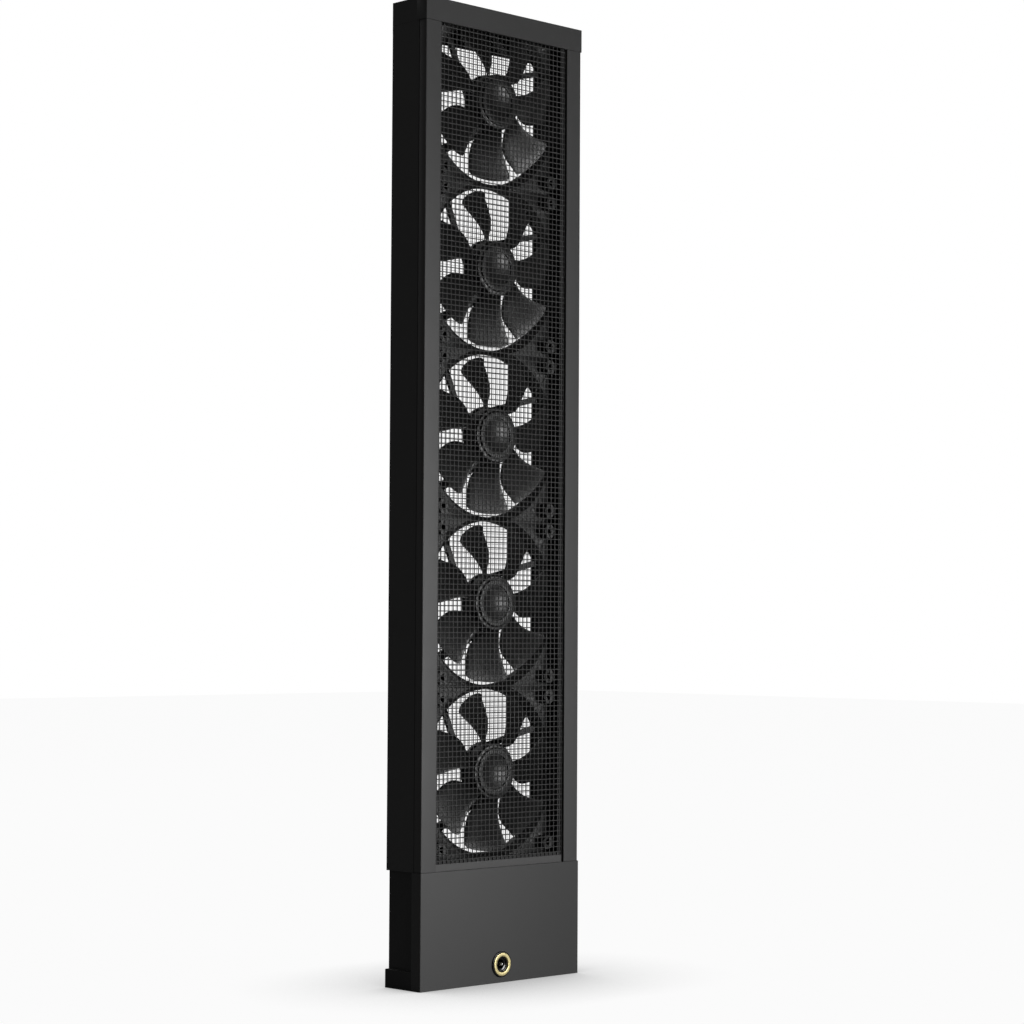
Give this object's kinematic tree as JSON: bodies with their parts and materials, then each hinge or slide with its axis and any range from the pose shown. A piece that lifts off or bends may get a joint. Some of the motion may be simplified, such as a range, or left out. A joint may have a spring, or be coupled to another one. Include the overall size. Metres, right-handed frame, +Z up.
{
  "type": "window fan",
  "caption": "Tall slim window fan with a column of square axial fans between two fine nets, on a small base with a round power inlet.",
  "frame": {"origin": "middle of the underside", "axes": "+Z up along the column of fans, the front net faces -Y, +X to the right seen from the front"},
  "size_m": [0.1556, 0.0376, 0.6916],
  "materials": {
    "body_grey": "fine matte moulded charcoal",
    "body_dark": "matte near-black",
    "inner_black": "matte black",
    "strap_steel": "zinc-plated",
    "net_wire": "dark grey coated wire",
    "screw_steel": "bright zinc",
    "screw_black": "black oxide",
    "inlet_black": "glossy black",
    "brass_ring": "polished pale gold",
    "pin_metal": "bright plated",
    "board_green": "green board",
    "lead_black": "matte black sheath",
    "fan_black": "satin black moulding",
    "blade_grey": "satin dark grey moulding",
    "magnet_steel": "plated steel over ferrite",
    "shaft_steel": "ground steel",
    "bush_bronze": "sintered bronze",
    "stator_copper": "varnished windings on steel"
  },
  "bodies": {
    "root": {"base_front_cover": "body_grey", "base_rear_shell": "body_dark", "base_floor": "body_dark", "top_cap": "body_grey", "left_upright": "body_grey", "right_upright": "body_grey", "left_fan_rail": "inner_black", "right_fan_rail": "inner_black", "fan_sill": "inner_black", "cross_straps": "strap_steel", "front_net": "net_wire", "rear_net": "net_wire", "fan_screws": "screw_steel", "strap_screws": "screw_steel", "cap_screws": "screw_black", "board_screws": "screw_steel", "inlet_collar": "inlet_black", "inlet_ring": "brass_ring", "inlet_socket": "inlet_black", "inlet_pin": "pin_metal", "inlet_nut": "brass_ring", "power_board": "board_green", "supply_lead": "lead_black", "fan_1_frame": "fan_black", "fan_1_bush": "bush_bronze", "fan_1_stator": "stator_copper", "fan_1_board": "board_green", "fan_2_frame": "fan_black", "fan_2_bush": "bush_bronze", "fan_2_stator": "stator_copper", "fan_2_board": "board_green", "fan_3_frame": "fan_black", "fan_3_bush": "bush_bronze", "fan_3_stator": "stator_copper", "fan_3_board": "board_green", "fan_4_frame": "fan_black", "fan_4_bush": "bush_bronze", "fan_4_stator": "stator_copper", "fan_4_board": "board_green", "fan_5_frame": "fan_black", "fan_5_bush": "bush_bronze", "fan_5_stator": "stator_copper", "fan_5_board": "board_green"},
    "rotor_1": {"fan_1_impeller": "blade_grey", "fan_1_magnet_cup": "magnet_steel", "fan_1_shaft": "shaft_steel"},
    "rotor_2": {"fan_2_impeller": "blade_grey", "fan_2_magnet_cup": "magnet_steel", "fan_2_shaft": "shaft_steel"},
    "rotor_3": {"fan_3_impeller": "blade_grey", "fan_3_magnet_cup": "magnet_steel", "fan_3_shaft": "shaft_steel"},
    "rotor_4": {"fan_4_impeller": "blade_grey", "fan_4_magnet_cup": "magnet_steel", "fan_4_shaft": "shaft_steel"},
    "rotor_5": {"fan_5_impeller": "blade_grey", "fan_5_magnet_cup": "magnet_steel", "fan_5_shaft": "shaft_steel"}
  },
  "joints": [
    {"name": "rotor_1_spin", "type": "hinge", "parent": "root", "child": "rotor_1", "pos_m": [0, -0.0037, 0.1482], "axis": [0, -1, 0], "continuous": true},
    {"name": "rotor_2_spin", "type": "hinge", "parent": "root", "child": "rotor_2", "pos_m": [0, -0.0037, 0.2682], "axis": [0, -1, 0], "continuous": true},
    {"name": "rotor_3_spin", "type": "hinge", "parent": "root", "child": "rotor_3", "pos_m": [0, -0.0037, 0.3882], "axis": [0, -1, 0], "continuous": true},
    {"name": "rotor_4_spin", "type": "hinge", "parent": "root", "child": "rotor_4", "pos_m": [0, -0.0037, 0.5082], "axis": [0, -1, 0], "continuous": true},
    {"name": "rotor_5_spin", "type": "hinge", "parent": "root", "child": "rotor_5", "pos_m": [0, -0.0037, 0.6282], "axis": [0, -1, 0], "continuous": true}
  ]
}
